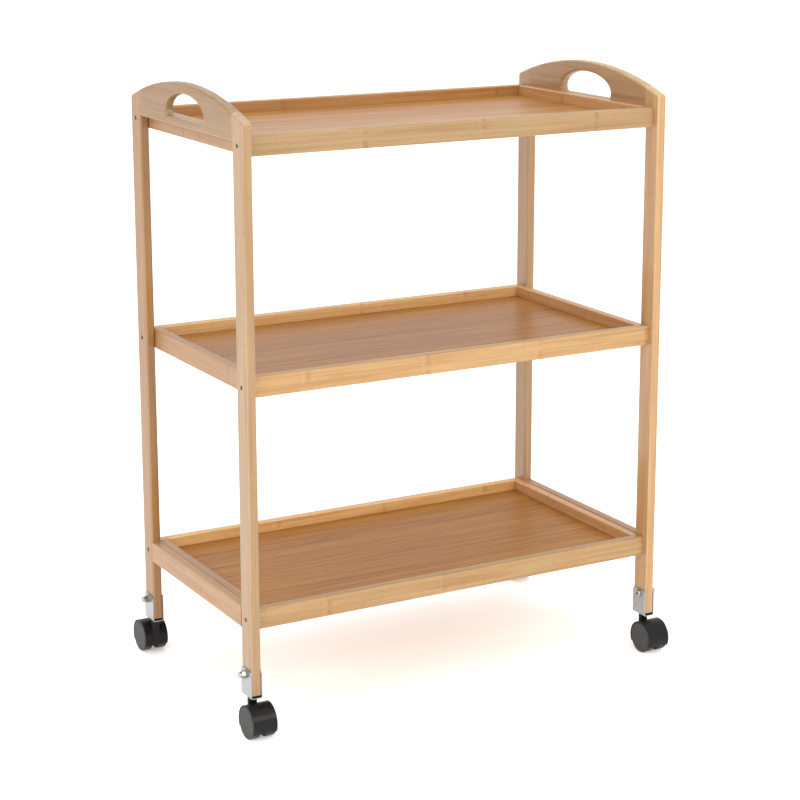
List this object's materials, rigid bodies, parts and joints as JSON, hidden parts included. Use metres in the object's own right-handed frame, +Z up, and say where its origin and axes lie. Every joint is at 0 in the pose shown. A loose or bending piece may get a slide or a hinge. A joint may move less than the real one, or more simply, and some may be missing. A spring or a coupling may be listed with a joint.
{
  "type": "rolling utility cart",
  "caption": "Bamboo serving cart with stacked rimmed trays, arched end handles with hand holes, and hooded swivel casters clamped under the posts.",
  "frame": {"origin": "on the floor, under the middle of the cart", "axes": "+X along the trays to the right hand handle, +Y from front to rear, +Z up"},
  "size_m": [0.5824, 0.3604, 0.733],
  "materials": {
    "bamboo_frame": "satin lacquered bamboo with fine straight grain along each piece",
    "bamboo_rail": "satin lacquered bamboo with growth nodes across the strips",
    "bamboo_panel": "semi-gloss bamboo board of fine strips along the cart",
    "dowel_wood": "plain fluted beech, unfinished",
    "zinc_steel": "bright zinc plated steel",
    "bolt_steel": "nickel plated steel",
    "plain_steel": "drawn steel",
    "zinc_screw": "dull zinc plated steel",
    "black_pad": "matt black rubber",
    "black_plastic": "moulded black nylon, soft sheen",
    "wheel_plastic": "moulded charcoal nylon, fine texture"
  },
  "bodies": {
    "frame": {"bottom_tray_front_rail": "bamboo_rail", "bottom_tray_left_end_rail": "bamboo_rail", "bottom_tray_panel": "bamboo_panel", "bottom_tray_rear_rail": "bamboo_rail", "bottom_tray_right_end_rail": "bamboo_rail", "clamp_bolts": "bolt_steel", "clamp_cap_nuts": "zinc_steel", "clamp_washers": "zinc_steel", "front_left_caster_bracket": "zinc_steel", "front_left_caster_stem": "plain_steel", "front_left_post": "bamboo_frame", "front_left_post_pad": "black_pad", "front_right_caster_bracket": "zinc_steel", "front_right_caster_stem": "plain_steel", "front_right_post": "bamboo_frame", "front_right_post_pad": "black_pad", "left_handle_board": "bamboo_frame", "left_stretcher": "bamboo_frame", "middle_tray_front_rail": "bamboo_rail", "middle_tray_left_end_rail": "bamboo_rail", "middle_tray_panel": "bamboo_panel", "middle_tray_rear_rail": "bamboo_rail", "middle_tray_right_end_rail": "bamboo_rail", "rear_left_caster_bracket": "zinc_steel", "rear_left_caster_stem": "plain_steel", "rear_left_post": "bamboo_frame", "rear_left_post_pad": "black_pad", "rear_right_caster_bracket": "zinc_steel", "rear_right_caster_stem": "plain_steel", "rear_right_post": "bamboo_frame", "rear_right_post_pad": "black_pad", "right_handle_board": "bamboo_frame", "right_stretcher": "bamboo_frame", "side_frame_dowels": "dowel_wood", "top_tray_front_rail": "bamboo_rail", "top_tray_left_end_rail": "bamboo_rail", "top_tray_panel": "bamboo_panel", "top_tray_rear_rail": "bamboo_rail", "top_tray_right_end_rail": "bamboo_rail", "tray_corner_dowels": "dowel_wood", "tray_screws": "zinc_screw", "stem_snap_rings": "plain_steel"},
    "front_left_caster": {"front_left_caster_hood": "black_plastic", "front_left_wheel_axle": "plain_steel"},
    "front_left_outer_wheel": {"front_left_outer_wheel": "wheel_plastic"},
    "front_left_inner_wheel": {"front_left_inner_wheel": "wheel_plastic"},
    "rear_left_caster": {"rear_left_caster_hood": "black_plastic", "rear_left_wheel_axle": "plain_steel"},
    "rear_left_outer_wheel": {"rear_left_outer_wheel": "wheel_plastic"},
    "rear_left_inner_wheel": {"rear_left_inner_wheel": "wheel_plastic"},
    "front_right_caster": {"front_right_caster_hood": "black_plastic", "front_right_wheel_axle": "plain_steel"},
    "front_right_outer_wheel": {"front_right_outer_wheel": "wheel_plastic"},
    "front_right_inner_wheel": {"front_right_inner_wheel": "wheel_plastic"},
    "rear_right_caster": {"rear_right_caster_hood": "black_plastic", "rear_right_wheel_axle": "plain_steel"},
    "rear_right_outer_wheel": {"rear_right_outer_wheel": "wheel_plastic"},
    "rear_right_inner_wheel": {"rear_right_inner_wheel": "wheel_plastic"}
  },
  "joints": [
    {"name": "front_left_swivel", "type": "hinge", "parent": "frame", "child": "front_left_caster", "pos_m": [-0.274, -0.1445, 0.0358], "axis": [0, 0, 1], "continuous": true},
    {"name": "front_left_outer_spin", "type": "hinge", "parent": "front_left_caster", "child": "front_left_outer_wheel", "pos_m": [-0.28365, -0.1596, 0.019], "axis": [1, 0, 0], "continuous": true},
    {"name": "front_left_inner_spin", "type": "hinge", "parent": "front_left_caster", "child": "front_left_inner_wheel", "pos_m": [-0.26435, -0.1596, 0.019], "axis": [1, 0, 0], "continuous": true},
    {"name": "rear_left_swivel", "type": "hinge", "parent": "frame", "child": "rear_left_caster", "pos_m": [-0.274, 0.1445, 0.0358], "axis": [0, 0, 1], "continuous": true},
    {"name": "rear_left_outer_spin", "type": "hinge", "parent": "rear_left_caster", "child": "rear_left_outer_wheel", "pos_m": [-0.28365, 0.1596, 0.019], "axis": [1, 0, 0], "continuous": true},
    {"name": "rear_left_inner_spin", "type": "hinge", "parent": "rear_left_caster", "child": "rear_left_inner_wheel", "pos_m": [-0.26435, 0.1596, 0.019], "axis": [1, 0, 0], "continuous": true},
    {"name": "front_right_swivel", "type": "hinge", "parent": "frame", "child": "front_right_caster", "pos_m": [0.274, -0.1445, 0.0358], "axis": [0, 0, 1], "continuous": true},
    {"name": "front_right_outer_spin", "type": "hinge", "parent": "front_right_caster", "child": "front_right_outer_wheel", "pos_m": [0.28365, -0.1596, 0.019], "axis": [1, 0, 0], "continuous": true},
    {"name": "front_right_inner_spin", "type": "hinge", "parent": "front_right_caster", "child": "front_right_inner_wheel", "pos_m": [0.26435, -0.1596, 0.019], "axis": [1, 0, 0], "continuous": true},
    {"name": "rear_right_swivel", "type": "hinge", "parent": "frame", "child": "rear_right_caster", "pos_m": [0.274, 0.1445, 0.0358], "axis": [0, 0, 1], "continuous": true},
    {"name": "rear_right_outer_spin", "type": "hinge", "parent": "rear_right_caster", "child": "rear_right_outer_wheel", "pos_m": [0.28365, 0.1596, 0.019], "axis": [1, 0, 0], "continuous": true},
    {"name": "rear_right_inner_spin", "type": "hinge", "parent": "rear_right_caster", "child": "rear_right_inner_wheel", "pos_m": [0.26435, 0.1596, 0.019], "axis": [1, 0, 0], "continuous": true}
  ]
}
